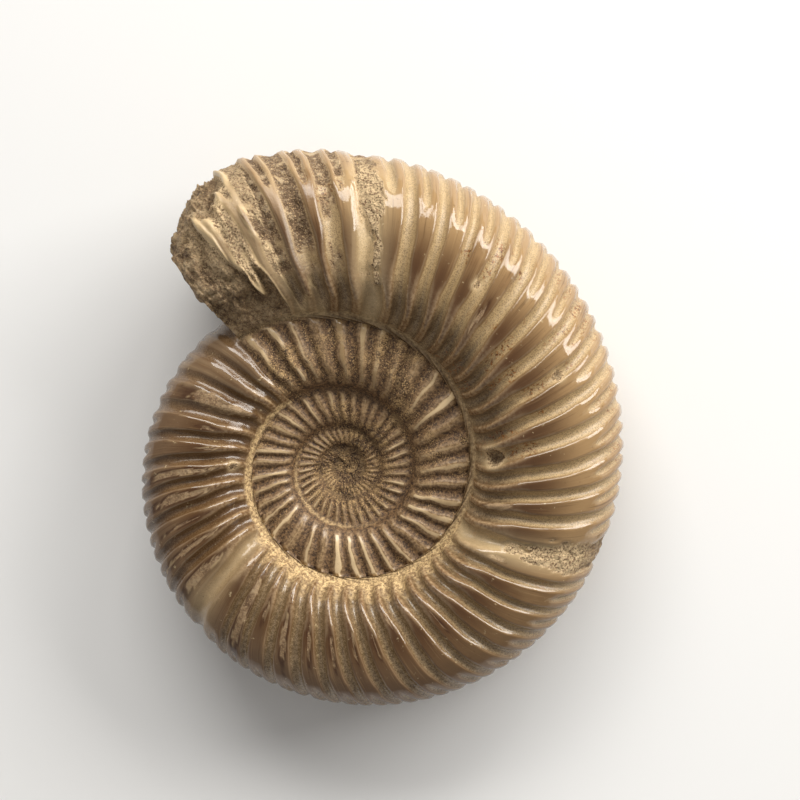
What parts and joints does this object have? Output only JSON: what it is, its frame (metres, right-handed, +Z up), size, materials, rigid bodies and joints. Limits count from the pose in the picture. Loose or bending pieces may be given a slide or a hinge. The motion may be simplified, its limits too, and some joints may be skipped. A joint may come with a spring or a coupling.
{
  "type": "ammonite fossil",
  "caption": "Polished ammonite fossil lying on its side: an open coil of ribbed turns round a wide hollow hub, ending in rough rock at the broken mouth.",
  "frame": {"origin": "centre of the footprint's bounding box, on the surface that the fossil lies on", "axes": "+Z up, away from the surface; +Y along the longest side, towards the broken mouth's end of the coil; seen from above the shell grows counterclockwise"},
  "size_m": [0.0832, 0.0956, 0.0324],
  "materials": {
    "fossil_shell": "polished brown and cream calcite shell, glossy on the ribs and dull with sediment in the grooves"
  },
  "bodies": {
    "root": {"ammonite": "fossil_shell"}
  },
  "joints": []
}
